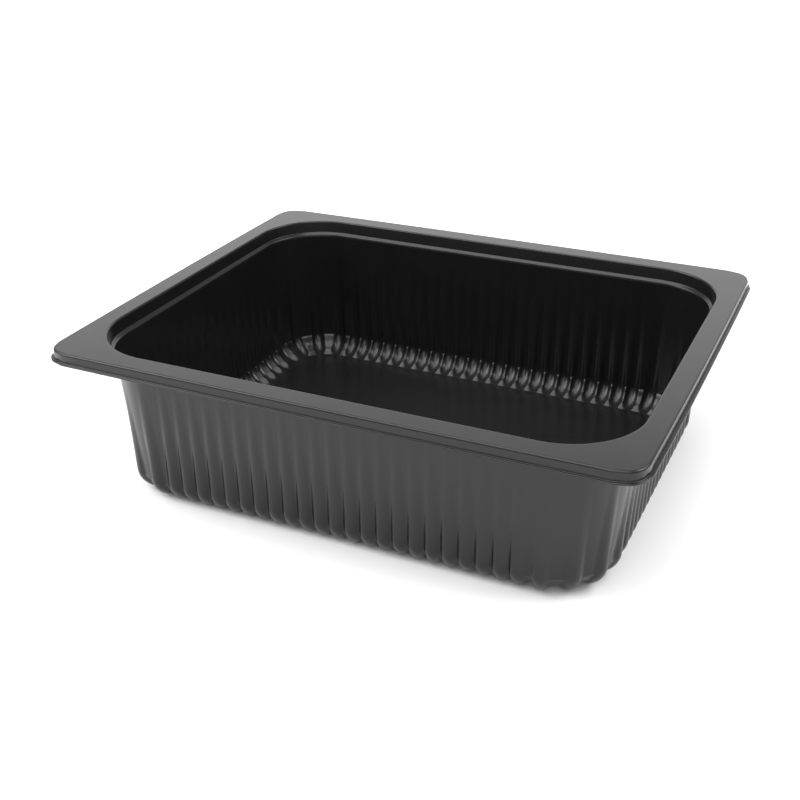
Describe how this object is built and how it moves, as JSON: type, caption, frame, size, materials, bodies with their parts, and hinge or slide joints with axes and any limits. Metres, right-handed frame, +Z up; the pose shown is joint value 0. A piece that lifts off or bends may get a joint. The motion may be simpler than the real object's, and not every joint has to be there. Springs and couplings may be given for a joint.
{
  "type": "food tray",
  "caption": "Deep rectangular food tray of thin black plastic with a flat flanged rim, a stacking step, fluted tapering walls and a flat floor, for holding or heating prepared food",
  "frame": {"origin": "on the table, under the middle of the tray", "axes": "+X runs along the long side, +Y along the short side, and +Z points up out of the open top"},
  "size_m": [0.325, 0.265, 0.0915],
  "materials": {
    "tray": "semi-gloss black polypropylene sheet with a very fine orange-peel grain, as it leaves the forming mould"
  },
  "bodies": {
    "root": {"tray": "tray"}
  },
  "joints": []
}
